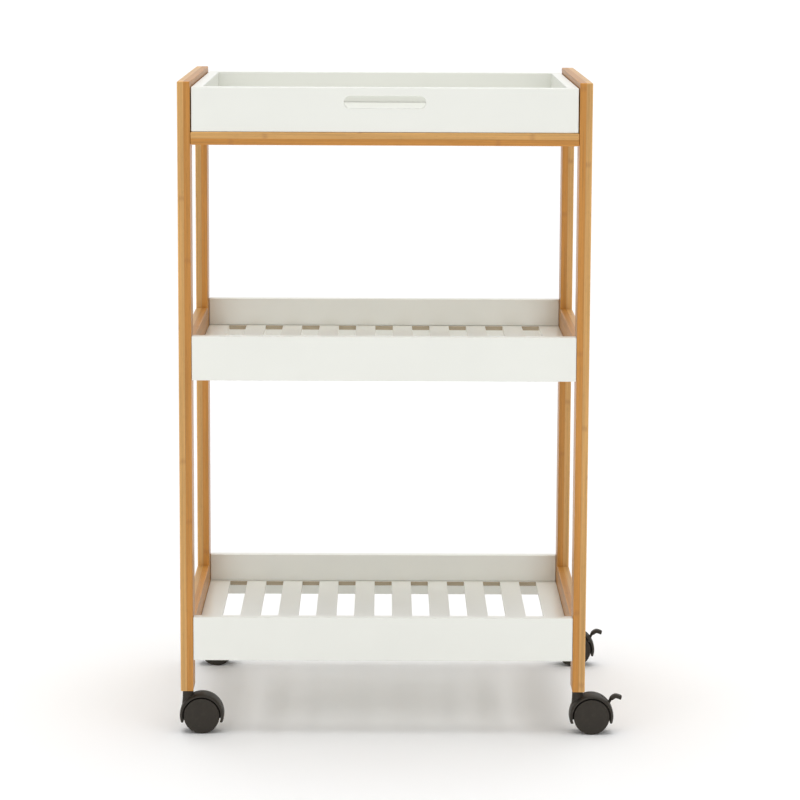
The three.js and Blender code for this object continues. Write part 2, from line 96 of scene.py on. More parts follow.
class Graph:
    """A new node material, with short calls for its nodes. Inputs are numbers, tuples or sockets."""

    def __init__(self, name):
        self.material = bpy.data.materials.new(name)
        self.material.use_nodes = True
        self.tree = self.material.node_tree
        self.shader = self.tree.nodes["Principled BSDF"]

    def wire(self, value, socket):
        if isinstance(value, bpy.types.NodeSocket):
            self.tree.links.new(value, socket)
        else:
            socket.default_value = value

    def node(self, kind, inputs=None, **settings):
        made = self.tree.nodes.new("ShaderNode" + kind)
        for key, value in settings.items():
            setattr(made, key, value)
        for key, value in (inputs or {}).items():
            self.wire(value, made.inputs[key])
        return made

    def set(self, **inputs):
        for name, value in inputs.items():
            self.wire(value, self.shader.inputs[name.replace("_", " ")])

    def math(self, operation, *values):
        return self.node("Math", dict(enumerate(values)), operation=operation).outputs[0]

    def add(self, a, b):
        return self.math("ADD", a, b)

    def times(self, a, b):
        return self.math("MULTIPLY", a, b)

    def ramp(self, value, start, end, low=0.0, high=1.0):
        """low up to start, high past end, and smooth between."""
        inputs = {"Value": value, "From Min": start, "From Max": end, "To Min": low, "To Max": high}
        made = self.node("MapRange", inputs, interpolation_type="SMOOTHSTEP")
        return made.outputs["Result"]

    def mix(self, share, a, b):
        made = self.node("Mix", data_type="RGBA")
        self.wire(share, made.inputs[0])
        self.wire(a, made.inputs[6])
        self.wire(b, made.inputs[7])
        return made.outputs[2]

    def scaled(self, colour, amount):
        """A colour made lighter or darker by a factor that varies."""
        if not isinstance(colour, bpy.types.NodeSocket):
            colour = colour[:3]
        return self.node("VectorMath", {0: colour, "Scale": amount}, operation="SCALE").outputs[0]

    def place(self, middle):
        """The point on the piece, from the piece's middle."""
        point = self.node("TexCoord").outputs["Object"]
        return self.node("VectorMath", {0: point, 1: middle}, operation="SUBTRACT").outputs[0]

    def split(self, vector):
        return self.node("SeparateXYZ", {0: vector}).outputs

    def join(self, x, y, z):
        return self.node("CombineXYZ", {0: x, 1: y, 2: z}).outputs[0]

    def noise(self, vector, scale, detail, roughness=0.5):
        inputs = {"Vector": vector, "Scale": scale, "Detail": detail, "Roughness": roughness}
        return self.node("TexNoise", inputs).outputs["Fac"]

    def stretched(self, vector, factors):
        return self.node("VectorMath", {0: vector, 1: factors}, operation="MULTIPLY").outputs[0]

    def random(self, vector):
        return self.node("TexWhiteNoise", {"Vector": vector}, noise_dimensions="3D").outputs["Value"]

    def bump(self, height, distance, strength, before=None):
        made = self.node("Bump", {"Height": height, "Distance": distance, "Strength": strength})
        if before is not None:
            self.wire(before, made.inputs["Normal"])
        return made.outputs["Normal"]

    def edge_mask(self, point, half, width):
        """1 on the long edges of a box of the given half size, and 0 past width from them."""
        gaps = [
            self.math("SUBTRACT", size, self.math("ABSOLUTE", value))
            for size, value in zip(half, self.split(point))
        ]
        low = self.math("MINIMUM", gaps[0], gaps[1])
        high = self.math("MAXIMUM", gaps[0], gaps[1])
        second = self.math("MAXIMUM", low, self.math("MINIMUM", high, gaps[2]))
        return self.ramp(second, 0.0, width, 1.0, 0.0)


def linear(red, green, blue):
    """A colour given as 0 to 255 on a screen, as the linear colour that shaders take."""
    def one(value):
        share = value / 255
        return share / 12.92 if share <= 0.04045 else ((share + 0.055) / 1.055) ** 2.4
    return (one(red), one(green), one(blue), 1.0)


# ---------- materials ----------

BAMBOO = {
    "light": linear(226, 175, 103),
    "dark": linear(197, 135, 57),
    "knuckle": linear(158, 98, 50),
    "glue": linear(146, 98, 54),
    "strip": 18 * MM,
    "knuckle_pitch": 0.29,
    "knuckle_half": 5 * MM,
    "knuckle_share": 0.28,
    "knuckle_wander": 6 * MM,
    "glue_share": 0.35,
    # The width and strength of the painted highlight along a bar's edges.
    "edge_highlight_wide": 1.6 * MM,
    "painted_edge_highlight": 0.18,
    "bump": 0.12 * MM,
}
# Bamboo's grain: how often each kind repeats along a bar and across it, and how much it tells.
GRAIN = {
    "broad": {"repeats": (3, 110, 110), "tells": 0.30},
    "streak": {"repeats": (6, 380, 380), "tells": 0.50},
    "fibre": {"repeats": (14, 900, 900), "tells": 0.46},
    "dash": {"repeats": (130, 2200, 2200), "tells": 0.13},
}
STRIP_TELLS = 0.11
PAINT = linear(243, 244, 237)
PAINT_WORN = linear(226, 222, 208)
PAINT_EDGE_WIDE = 1.3 * MM
PEEL_DEEP = 0.05 * MM
SPRAY_DEEP = 0.015 * MM
RAW_BOARD = linear(163, 146, 116)
BARE = {"end_walls": 0.9, "long_walls": 0.15}   # how far the paint leaves a slot's walls bare
NYLON = linear(52, 47, 40)
NYLON_WORN = linear(82, 75, 66)
NYLON_GRAIN_DEEP = 0.03 * MM
TREAD = {"scuffed_from": 1.6 * MM, "scuffed_to": 0.4 * MM}   # below a wheel's radius
ZINC = linear(205, 206, 206)
ZINC_BRUSH_DEEP = 0.02 * MM


def bamboo(name, box, along, thick, dark_side, seed):
    """Laminated bamboo: two layers through the bar's thickness, each of side by side strips."""
    g = Graph(name)
    lo, hi = box
    wide = 3 - along - thick
    point = g.place(tuple((lo + hi) / 2))
    parts = g.split(point)
    length, depth, width = parts[along], parts[thick], parts[wide]
    # The bar's own axes: x along it, y through its layers, z across its strips.
    own = g.join(length, g.times(depth, dark_side), width)
    layer = g.math("GREATER_THAN", g.times(depth, dark_side), 0.0)
    shift = g.times(layer, BAMBOO["strip"] / 2)
    strip = g.math("FLOOR", g.math("DIVIDE", g.add(width, shift), BAMBOO["strip"]))
    cell = g.random(g.join(layer, strip, seed))
    moved = g.node("VectorMath", {0: own, 1: g.join(cell, seed, cell)}, operation="ADD").outputs[0]

    broad = g.noise(g.stretched(moved, GRAIN["broad"]["repeats"]), 1.0, 2.0, 0.55)
    streak = g.noise(g.stretched(moved, GRAIN["streak"]["repeats"]), 1.0, 2.0, 0.5)
    fibre = g.noise(g.stretched(moved, GRAIN["fibre"]["repeats"]), 1.0, 4.0, 0.65)
    dashes = g.noise(g.stretched(moved, GRAIN["dash"]["repeats"]), 1.0, 1.0)
    dash = g.ramp(dashes, 0.60, 0.70)

    colour = g.mix(layer, BAMBOO["light"], BAMBOO["dark"])
    lightness = g.add(0.90, g.times(cell, STRIP_TELLS))
    for kind, pattern in (("broad", broad), ("streak", streak), ("fibre", fibre)):
        swing = g.math("SUBTRACT", pattern, 0.5)
        lightness = g.add(lightness, g.times(swing, GRAIN[kind]["tells"]))
    lightness = g.math("SUBTRACT", lightness, g.times(dash, GRAIN["dash"]["tells"]))

    # Knuckles: short darker bands across a strip, where the cane had its joints.
    wander = g.times(g.math("SUBTRACT", fibre, 0.5), BAMBOO["knuckle_wander"])
    run = g.add(g.add(length, wander), g.times(cell, BAMBOO["knuckle_pitch"]))
    from_knuckle = g.math("PINGPONG", run, BAMBOO["knuckle_pitch"] / 2)
    knuckle = g.ramp(from_knuckle, 0.0, BAMBOO["knuckle_half"], 1.0, 0.0)
    colour = g.mix(g.times(knuckle, BAMBOO["knuckle_share"]), colour, BAMBOO["knuckle"])

    # Glue lines between the layers and between the strips.
    to_layer = g.math("ABSOLUTE", depth)
    layer_line = g.ramp(to_layer, 0.05 * MM, 0.35 * MM, 1.0, 0.0)
    to_strip = g.math("PINGPONG", g.add(width, shift), BAMBOO["strip"] / 2)
    strip_line = g.ramp(to_strip, 0.04 * MM, 0.25 * MM, 1.0, 0.0)
    line = g.math("MAXIMUM", layer_line, g.times(strip_line, 0.6))
    colour = g.mix(g.times(line, BAMBOO["glue_share"]), colour, BAMBOO["glue"])

    # Painted highlight: the bar's rounded edges are made a little lighter, in patches, standing in for
    # the light they catch.
    edges = g.edge_mask(point, tuple((hi - lo) / 2), BAMBOO["edge_highlight_wide"])
    patches = g.ramp(g.noise(moved, 60.0, 2.0), 0.35, 0.65, 0.35, 1.0)
    lightness = g.add(lightness, g.times(g.times(edges, patches), BAMBOO["painted_edge_highlight"]))

    roughness = g.add(0.36, g.times(fibre, 0.16))
    height = g.math("SUBTRACT", g.add(fibre, g.times(dash, -0.35)), line)
    g.set(
        Base_Color=g.scaled(colour, lightness),
        Roughness=roughness,
        Specular_IOR_Level=0.4,
        Coat_Weight=0.2,
        Coat_Roughness=0.25,
        Normal=g.bump(height, BAMBOO["bump"], 0.5),
    )
    return g.material


def painted(name, box, raw_walls=False, seed=0.0):
    """Sprayed white paint on fibreboard, a little thinner on the edges.

    With raw_walls it is thin on the walls of a shelf's slots: the ends that face along Y show
    the board's bare brown core, and the long walls that face along X let a little of it through.
    """
    g = Graph(name)
    lo, hi = box
    point = g.place(tuple((lo + hi) / 2))
    moved = g.node("VectorMath", {0: point, 1: (seed, seed, seed)}, operation="ADD").outputs[0]
    cloud = g.noise(moved, 14.0, 3.0, 0.55)
    spray = g.noise(moved, 900.0, 2.0, 0.6)
    peel = g.noise(moved, 260.0, 2.0, 0.5)
    edges = g.edge_mask(point, tuple((hi - lo) / 2), PAINT_EDGE_WIDE)
    patches = g.ramp(g.noise(moved, 75.0, 3.0, 0.6), 0.45, 0.75)
    worn = g.times(g.times(edges, patches), 0.55)
    colour = g.mix(worn, PAINT, PAINT_WORN)
    colour = g.scaled(colour, g.add(0.985, g.times(g.math("SUBTRACT", cloud, 0.5), 0.05)))
    roughness = g.add(0.27, g.times(cloud, 0.12))
    normal = g.bump(peel, PEEL_DEEP, 0.35)
    normal = g.bump(spray, SPRAY_DEEP, 0.3, before=normal)
    if raw_walls:
        facing = g.split(g.node("TexCoord").outputs["Normal"])
        end_wall = g.ramp(g.math("ABSOLUTE", facing[Y]), 0.35, 0.75)
        long_wall = g.ramp(g.math("ABSOLUTE", facing[X]), 0.35, 0.75)
        bare_ends = g.times(end_wall, BARE["end_walls"])
        bare = g.math("MAXIMUM", bare_ends, g.times(long_wall, BARE["long_walls"]))
        fluff = g.noise(g.stretched(moved, (1, 1, 3)), 700.0, 3.0, 0.7)
        core = g.scaled(RAW_BOARD, g.add(0.78, g.times(fluff, 0.44)))
        colour = g.mix(bare, colour, core)
        roughness = g.add(roughness, g.times(bare, 0.4))
    g.set(
        Base_Color=colour,
        Roughness=roughness,
        Specular_IOR_Level=0.5,
        Coat_Weight=0.2,
        Coat_Roughness=0.12,
        Normal=normal,
    )
    return g.material


def nylon(name, middle, rim=None):
    """Moulded black nylon with a fine grain. rim is the radius of a wheel, whose tread is scuffed."""
    g = Graph(name)
    point = g.place(tuple(middle))
    grain = g.noise(point, 1500.0, 3.0, 0.6)
    flow = g.noise(point, 70.0, 3.0, 0.6)
    dust = g.ramp(g.noise(point, 240.0, 4.0, 0.7), 0.48, 0.72)
    colour = g.scaled(NYLON, g.add(0.72, g.times(flow, 0.55)))
    worn = g.times(dust, 0.22)
    if rim:
        x, _, z = g.split(point)
        out = g.math("SQRT", g.add(g.times(x, x), g.times(z, z)))
        tread = g.ramp(out, rim - TREAD["scuffed_from"], rim - TREAD["scuffed_to"])
        worn = g.times(dust, g.add(0.15, g.times(tread, 0.5)))
    colour = g.mix(worn, colour, NYLON_WORN)
    roughness = g.add(0.46, g.times(flow, 0.16))
    normal = g.bump(grain, NYLON_GRAIN_DEEP, 0.45)
    g.set(Base_Color=colour, Roughness=roughness, Normal=normal, Specular_IOR_Level=0.3)
    return g.material


def zinc(name, middle):
    """Bright zinc plate, faintly mottled and brushed round."""
    g = Graph(name)
    point = g.place(tuple(middle))
    mottle = g.noise(point, 350.0, 3.0, 0.6)
    scratches = g.noise(g.stretched(point, (1, 1, 30)), 900.0, 2.0, 0.6)
    colour = g.scaled(ZINC, g.add(0.80, g.times(mottle, 0.3)))
    roughness = g.add(0.24, g.times(mottle, 0.2))
    g.set(
        Base_Color=colour,
        Metallic=1.0,
        Roughness=roughness,
        Normal=g.bump(scratches, ZINC_BRUSH_DEEP, 0.35),
    )
    return g.material


# ---------- mesh helpers ----------


def show(name, bm, body, material, stands_for=(), smooth_below=40):
    """The mesh as a piece of the object: smooth across shallow edges, riding on its body."""
    mesh = bpy.data.meshes.new(name)
    bmesh.ops.recalc_face_normals(bm, faces=bm.faces)
    bm.to_mesh(mesh)
    bm.free()
    mesh.shade_smooth()
    mesh.set_sharp_from_angle(angle=math.radians(smooth_below))
    piece = bpy.data.objects.new(name, mesh)
    bpy.context.scene.collection.objects.link(piece)
    mesh.materials.append(material)
    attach(piece, body)
    if stands_for:
        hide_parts(*stands_for)
    weighted = piece.modifiers.new("even_shading", "WEIGHTED_NORMAL")
    weighted.keep_sharp = True
    return piece


def rounded_box(lo, hi, radius):
    """A box with all of its edges rounded."""
    bm = bmesh.new()
    size = hi - lo
    place = Matrix.Translation((lo + hi) / 2) @ Matrix.Diagonal((*size, 1))
    bmesh.ops.create_cube(bm, size=1, matrix=place)
    bmesh.ops.bevel(
        bm, geom=bm.edges[:], offset=radius, segments=BOX_STEPS, profile=0.5, affect="EDGES"
    )
    return bm


def turned(profile, axis, centre, segments=48):
    """A [radius, height] profile turned about an axis through centre. An end on the axis is closed."""
    bm = bmesh.new()
    rings = []
    for radius, height in profile:
        ring = []
        for i in range(segments if radius > 0 else 1):
            angle = 2 * math.pi * i / segments
            ring.append(bm.verts.new((radius * math.cos(angle), radius * math.sin(angle), height)))
        rings.append(ring)
    for lower, upper in zip(rings, rings[1:]):
        for i in range(segments):
            j = (i + 1) % segments
            if len(lower) == 1:
                bm.faces.new((lower[0], upper[j], upper[i]))
            elif len(upper) == 1:
                bm.faces.new((lower[i], lower[j], upper[0]))
            else:
                bm.faces.new((lower[i], lower[j], upper[j], upper[i]))
    turn = {X: Matrix.Rotation(math.pi / 2, 4, "Y"), Y: Matrix.Rotation(-math.pi / 2, 4, "X")}
    bm.transform(Matrix.Translation(centre) @ turn.get(axis, Matrix()))
    return bm


def prism(outline, low, high):
    """A flat outline of (x, z) points, given a thickness in Y from low to high."""
    bm = bmesh.new()
    near = [bm.verts.new((x, low, z)) for x, z in outline]
    far = [bm.verts.new((x, high, z)) for x, z in outline]
    bm.faces.new(near)
    bm.faces.new(far[::-1])
    for i in range(len(outline)):
        j = (i + 1) % len(outline)
        bm.faces.new((near[i], far[i], far[j], near[j]))
    return bm


def scratch_object(bm):
    mesh = bpy.data.meshes.new("scratch")
    bmesh.ops.recalc_face_normals(bm, faces=bm.faces)
    bm.to_mesh(mesh)
    bm.free()
    made = bpy.data.objects.new("scratch", mesh)
    bpy.context.scene.collection.objects.link(made)
    return made


def welded(bm):
    """bm with points that coincide made one, and the slivers between them gone."""
    bmesh.ops.remove_doubles(bm, verts=bm.verts, dist=WELD)
    bmesh.ops.dissolve_degenerate(bm, edges=bm.edges, dist=WELD)
    return bm


def carved(bm, cutters=(), joined=()):
    """bm with the joined solids added and the cutters taken away."""
    base = scratch_object(bm)
    helpers = []
    for operation, solids in (("UNION", joined), ("DIFFERENCE", cutters)):
        for solid in solids:
            helper = scratch_object(solid)
            helpers.append(helper)
            cut = base.modifiers.new("cut", "BOOLEAN")
            cut.object = helper
            cut.operation = operation
            cut.solver = "EXACT"
    mesh = bpy.data.meshes.new_from_object(
        base.evaluated_get(bpy.context.evaluated_depsgraph_get())
    )
    result = bmesh.new()
    result.from_mesh(mesh)
    for used in (base, *helpers):
        data = used.data
        bpy.data.objects.remove(used)
        bpy.data.meshes.remove(data)
    bpy.data.meshes.remove(mesh)
    return welded(result)


def arc(middle, radius, start, end, steps):
    """Points (x, z) along an arc, its angles in degrees."""
    angles = [math.radians(start + (end - start) * i / steps) for i in range(steps + 1)]
    return [
        (middle[0] + radius * math.cos(a), middle[1] + radius * math.sin(a)) for a in angles
    ]


def on_circle(radius, degrees):
    angle = math.radians(degrees)
    return (radius * math.cos(angle), radius * math.sin(angle))


def circle(middle, radius, sides=48):
    return arc(middle, radius, 0, 360 - 360 / sides, sides - 1)


def middle_of(node):
    lo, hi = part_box(node)
    return (lo + hi) / 2


# ---------- screws ----------

SCREW = {
    "head": 4 * MM,
    "head_deep": 2.4 * MM,
    "shank": 2.2 * MM,
    "long": 46 * MM,
    "tip": 4 * MM,
    "socket": 1.9 * MM,
    "socket_deep": 2 * MM,
    "recess": 0.1 * MM,
    "thread_pitch": 2.5 * MM,
    "thread_deep": 0.5 * MM,
    "thread_from": 14 * MM,       # below the head's face
    "plain_to": 12 * MM,          # below the head's face
    "rim": 0.4 * MM,
    "bevel": 0.1 * MM,
    "tip_blunt": 0.4,             # the tip's width and height, as shares of root and tip
    "tip_rise": 0.3,
    "sides": 32,
    "head_hole": 4.7 * MM,
    "shank_hole": 2.55 * MM,
    "head_hole_deep": 3.1 * MM,
    "past_leg": 20 * MM,
    "pilot_deep": 34 * MM,
    "pilot_sides": 24,
    "skim": 0.2 * MM,
}


def screw(name, outward, head_place, node=None):
    """A countersunk furniture screw with a hexagon socket, its head's face at head_place."""
    s = SCREW
    root = s["shank"] - s["thread_deep"]
    profile = [(0, -s["long"]), (root * s["tip_blunt"], -s["long"] + s["tip"] * s["tip_rise"])]
    turns = int((s["long"] - s["tip"] - s["thread_from"]) / s["thread_pitch"])
    for i in range(turns):
        foot = -s["long"] + s["tip"] + i * s["thread_pitch"]
        profile += [(root, foot), (s["shank"], foot + s["thread_pitch"] / 2)]
    profile += [
        (root, -s["long"] + s["tip"] + turns * s["thread_pitch"]),
        (s["shank"], -s["plain_to"]),
        (s["shank"], -s["head_deep"]),
        (s["head"], -s["rim"]),
        (s["head"], -s["bevel"]),
        (s["head"] - s["bevel"], 0),
        (0, 0),
    ]
    face = Matrix.Translation(head_place) @ Matrix.Rotation(outward * math.pi / 2, 4, "Y")
    body = turned(profile, Z, (0, 0, 0), s["sides"])
    socket = bmesh.new()
    bmesh.ops.create_cone(
        socket,
        cap_ends=True,
        segments=6,
        radius1=s["socket"],
        radius2=s["socket"],
        depth=2 * s["socket_deep"],
    )
    made = carved(body, [socket])
    made.transform(face)
    stands_for = (node,) if node else ()
    material = zinc(name + "_zinc", head_place)
    return show(name, made, "frame", material, stands_for, SCREW_SMOOTH)


def screw_hole(outward, face_place):
    """A cutter for a countersunk hole right through a leg."""
    s = SCREW
    profile = [
        (0, -s["past_leg"]),
        (s["shank_hole"], -s["past_leg"]),
        (s["shank_hole"], -s["head_hole_deep"]),
        (s["head_hole"], 0),
        (s["head_hole"], s["skim"]),
        (0, s["skim"]),
    ]
    bm = turned(profile, Z, (0, 0, 0), s["sides"])
    bm.transform(Matrix.Translation(face_place) @ Matrix.Rotation(outward * math.pi / 2, 4, "Y"))
    return bm


def cross_screw_places():
    """The cross rails' screws have no CAD node of their own: (end, side, outward, head's place)."""
    for end, side, out in CORNERS:
        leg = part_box(f"{end}_{side}_leg")
        rail = middle_of(f"{end}_cross_rail")
        face = leg[1].x if out > 0 else leg[0].x
        yield end, side, out, Vector((face - out * SCREW["recess"], rail.y, rail.z))


def make_screws():
    for shelf in ("middle", "bottom"):
        for end, side, out in CORNERS:
            node = f"{shelf}_{end}_{side}_screw"
            lo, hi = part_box(node)
            middle = (lo + hi) / 2
            head = Vector((hi.x if out > 0 else lo.x, middle.y, middle.z))
            screw(node + "_threaded", out, head, node)
    for end, side, out, head in cross_screw_places():
        screw(f"cross_{end}_{side}_screw", out, head)


# ---------- bamboo frame ----------

BAR_ROUND = 1.2 * MM
SIDE_RAIL_ROUND = BAR_ROUND * 0.8
FOOT_BORE = {"radius": 4.65 * MM, "deep": 19 * MM, "sides": 32}
# The first bar's place in the grain, and each next one's distance from it.
GRAIN_PLACES = {"legs": (0.3, 1.7), "side_rails": (9.1, 2.3), "cross_rails": (21.4, 3.1)}


def make_legs():
    first, apart = GRAIN_PLACES["legs"]
    for number, (end, side, out) in enumerate(CORNERS):
        node = f"{end}_{side}_leg"
        lo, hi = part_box(node)
        face = hi.x if out > 0 else lo.x
        cutters = []
        for shelf in ("middle", "bottom"):
            place = middle_of(f"{shelf}_{end}_{side}_screw")
            cutters.append(screw_hole(out, (face, place.y, place.z)))
        rail = middle_of(f"{end}_cross_rail")
        cutters.append(screw_hole(out, (face, rail.y, rail.z)))
        stem = middle_of(f"{end}_{side}_caster_stem")
        bore = FOOT_BORE["radius"]
        profile = [(0, -MM), (bore, -MM), (bore, FOOT_BORE["deep"]), (0, FOOT_BORE["deep"])]
        cutters.append(turned(profile, Z, (stem.x, stem.y, lo.z), FOOT_BORE["sides"]))
        bar = carved(rounded_box(lo, hi, BAR_ROUND), cutters)
        # The darker layer faces the cart's inside.
        wood = bamboo(node + "_bamboo", (lo, hi), Z, X, -out, apart * number + first)
        show(node + "_bar", bar, "frame", wood, (node,))


def make_side_rails():
    first, apart = GRAIN_PLACES["side_rails"]
    for number, level in enumerate(("top", "middle", "bottom")):
        for side, out in SIDES:
            node = f"{level}_{side}_rail"
            lo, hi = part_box(node)
            seed = first + apart * number + out
            wood = bamboo(node + "_bamboo", (lo, hi), Y, X, -out, seed)
            bar = rounded_box(lo, hi, SIDE_RAIL_ROUND)
            show(node + "_bar", bar, "frame", wood, (node,))


def make_cross_rails():
    first, apart = GRAIN_PLACES["cross_rails"]
    for number, (end, _) in enumerate(ENDS):
        node = f"{end}_cross_rail"
        lo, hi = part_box(node)
        cutters = []
        middle = (lo + hi) / 2
        for _, out in SIDES:
            end_face = hi.x if out > 0 else lo.x
            bore = SCREW["shank_hole"]
            deep = SCREW["pilot_deep"]
            profile = [(0, -deep), (bore, -deep), (bore, MM), (0, MM)]
            hole = turned(profile, Z, (0, 0, 0), SCREW["pilot_sides"])
            place = Matrix.Translation((end_face, middle.y, middle.z))
            hole.transform(place @ Matrix.Rotation(out * math.pi / 2, 4, "Y"))
            cutters.append(hole)
        bar = carved(rounded_box(lo, hi, BAR_ROUND), cutters)
        wood = bamboo(node + "_bamboo", (lo, hi), X, Z, -1, first + apart * number)
        show(node + "_bar", bar, "frame", wood, (node,))


# ---------- painted boards ----------

BOARD_ROUND = 1.1 * MM
GROOVE_EASE = 0.3 * MM
SHELF_GROOVE_DEEP = 5.8 * MM
TRAY_GROOVE = {"deep": 4.8 * MM, "short": 7 * MM}
TRAY_SEEDS = {"ends": 4.2, "sides": 7.7, "floor": 2.9}
PANEL_ROUND = 0.45 * MM
PANEL_ROUND_STEPS = 3


def soften_node(node, width):
    """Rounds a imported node's edges, its own mesh left as it is."""
    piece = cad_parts[node]
    weld = piece.modifiers.new("weld", "WELD")
    weld.merge_threshold = SAME_PLACE
    flat = piece.modifiers.new("flat", "DECIMATE")
    flat.decimate_type = "DISSOLVE"
    flat.angle_limit = FLAT_BELOW
    round_off = piece.modifiers.new("round_off", "BEVEL")
    round_off.width = width
    round_off.segments = PANEL_ROUND_STEPS
    round_off.limit_method = "ANGLE"
    round_off.angle_limit = SHARP_ABOVE
    weighted = piece.modifiers.new("even_shading", "WEIGHTED_NORMAL")
    weighted.keep_sharp = True
    return piece


def give_material(piece, material):
    if not piece.material_slots:
        piece.data.materials.append(material)
    for material_slot in piece.material_slots:
        material_slot.material = material


def grooved_board(node, along, height, inward, deep, short=-MM, cutters=()):
    """A painted board with rounded edges and the groove that its floor panel sits in.

    The groove runs along an axis at a height, deep into the face on the inward side (-1 or 1),
    and stops short of the board's ends, or runs out past them if short is below zero.
    """
    lo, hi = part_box(node)
    groove_lo = lo.copy()
    groove_hi = hi.copy()
    across = Y if along == X else X
    if inward > 0:
        groove_lo[across] = hi[across] - deep
        groove_hi[across] = hi[across] + MM
    else:
        groove_lo[across] = lo[across] - MM
        groove_hi[across] = lo[across] + deep
    groove_lo[along] += short
    groove_hi[along] -= short
    groove_lo.z, groove_hi.z = height
    groove = bmesh.new()
    place = Matrix.Translation((groove_lo + groove_hi) / 2)
    size = Matrix.Diagonal((*(groove_hi - groove_lo), 1))
    bmesh.ops.create_cube(groove, size=1, matrix=place @ size)
    return carved(rounded_box(lo, hi, BOARD_ROUND), [groove, *cutters])


def make_shelves():
    for shelf in ("middle", "bottom"):
        panel = f"{shelf}_slotted_panel"
        lo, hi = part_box(panel)
        height = (lo.z - GROOVE_EASE, hi.z + GROOVE_EASE)
        for end, back in ENDS:
            node = f"{shelf}_{end}_board"
            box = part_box(node)
            board = grooved_board(node, X, height, -back, SHELF_GROOVE_DEEP)
            paint = painted(node + "_paint", box, seed=lo.z + back)
            show(node + "_painted", board, "frame", paint, (node,))
        piece = soften_node(panel, PANEL_ROUND)
        give_material(piece, painted(panel + "_paint", (lo, hi), raw_walls=True, seed=lo.z))


HAND_HOLE = {
    "wide": 88.8 * MM,
    "tall": 13.5 * MM,
    "below_top": 16 * MM,
    "end_steps": 20,
    "ease": 1.0 * MM,
    "ease_steps": 4,
}
RIM_ABOVE = math.radians(60)


def hand_hole_cutter(box):
    lo, hi = box
    radius = HAND_HOLE["tall"] / 2
    reach = HAND_HOLE["wide"] / 2 - radius
    middle = ((lo.x + hi.x) / 2, hi.z - HAND_HOLE["below_top"])
    right = arc((middle[0] + reach, middle[1]), radius, -90, 90, HAND_HOLE["end_steps"])
    left = arc((middle[0] - reach, middle[1]), radius, 90, 270, HAND_HOLE["end_steps"])
    return prism(right + left, lo.y - MM, hi.y + MM)


def soften_hole(bm, box):
    """Rounds the hand hole's two rims."""
    lo, hi = box
    reach = HAND_HOLE["wide"] / 2 + MM
    middle_x = (lo.x + hi.x) / 2
    top = hi.z - HAND_HOLE["below_top"] + HAND_HOLE["tall"] / 2 + MM
    bottom = top - HAND_HOLE["tall"] - 2 * MM

    def on_rim(vert):
        on_face = min(abs(vert.co.y - lo.y), abs(vert.co.y - hi.y)) < SAME_PLACE
        return on_face and abs(vert.co.x - middle_x) < reach and bottom < vert.co.z < top

    rims = [
        edge
        for edge in bm.edges
        if on_rim(edge.verts[0])
        and on_rim(edge.verts[1])
        and len(edge.link_faces) == 2
        and edge.calc_face_angle(0) > RIM_ABOVE
    ]
    ease, steps = HAND_HOLE["ease"], HAND_HOLE["ease_steps"]
    bmesh.ops.bevel(bm, geom=rims, offset=ease, segments=steps, profile=0.5, affect="EDGES")


def make_tray():
    floor = "tray_floor"
    lo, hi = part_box(floor)
    ease = GROOVE_EASE
    height = (lo.z - ease, hi.z + ease)
    deep = TRAY_GROOVE["deep"]
    for end, back in ENDS:
        node = f"tray_{end}_wall"
        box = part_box(node)
        cutters = [hand_hole_cutter(box)] if end == "front" else []
        wall = grooved_board(node, X, height, -back, deep, TRAY_GROOVE["short"], cutters)
        if end == "front":
            soften_hole(wall, box)
        paint = painted(node + "_paint", box, seed=TRAY_SEEDS["ends"] + back)
        show(node + "_painted", wall, "tray", paint, (node,))
    for side, out in SIDES:
        node = f"tray_{side}_wall"
        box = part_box(node)
        wall = grooved_board(node, Y, height, -out, deep)
        paint = painted(node + "_paint", box, seed=TRAY_SEEDS["sides"] + out)
        show(node + "_painted", wall, "tray", paint, (node,))
    paint = painted(floor + "_paint", (lo, hi), seed=TRAY_SEEDS["floor"])
    give_material(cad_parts[floor], paint)


# ---------- casters ----------

HOOD = {
    "inner": 21.4 * MM,
    "outer": 24.77 * MM,
    "rim_outer": 22.8 * MM,
    "half_wide": 13 * MM,
    "across": (3 * MM, 5 * MM, 8 * MM, 10.5 * MM, 12 * MM, 12.7 * MM),
    "from": -18,
    "to": 199,
    "steps": 72,
    "edge": 0.45 * MM,
    "edge_steps": 3,
    "web_steps": 48,
    "web_half": 3 * MM,
    "web_from": -12,
    "web_to": 194,
    "hub": 6 * MM,
    "neck": 6 * MM,
    "neck_flare": 1.6 * MM,
    "neck_steps": 12,
    "neck_sides": 48,
    "neck_sunk": 1.2 * MM,
    "neck_inside": 1.4 * MM,
    "neck_top": 47.9 * MM,
    "bore": 3.35 * MM,
    "bore_long": 40 * MM,
    "bore_sides": 40,
    "bore_foot": 39 * MM,
}
WHEEL = {
    "radius": 20 * MM,
    "inner": 3.4 * MM,
    "outer": 12.7 * MM,
    "rim_inner": 17 * MM,
    "hub": 4.6 * MM,
    "web": 2.5 * MM,
    "bore": 2.35 * MM,
    "edge": 1.0 * MM,
    "small_edge": 0.3 * MM,
    "rim_step": 2.1 * MM,
    "step_deep": 0.25 * MM,
    "edge_steps": 5,
    "sides": 96,
    "ribs": 6,
    "rib_thick": 1.4 * MM,
    "rib_deep": 2.6 * MM,
}
AXLE = {"radius": 2 * MM, "bevel": 0.3 * MM, "sides": 32}
STEM = {
    "radius": 3 * MM,
    "bevel": 0.8 * MM,
    "flange": 5.5 * MM,
    "flange_low": 48.2 * MM,
    "flange_high": 49.7 * MM,
    "flange_bevel": 0.25 * MM,
}
INSERT_BORE = 3.35 * MM
LEVER_SLOT = {
    "half_wide": 1.9 * MM,
    "from": 27,
    "to": 62,
    "root": 8 * MM,
    "root_from": 12,
    "web_gap": (24, 74),
    "steps": 8,
}
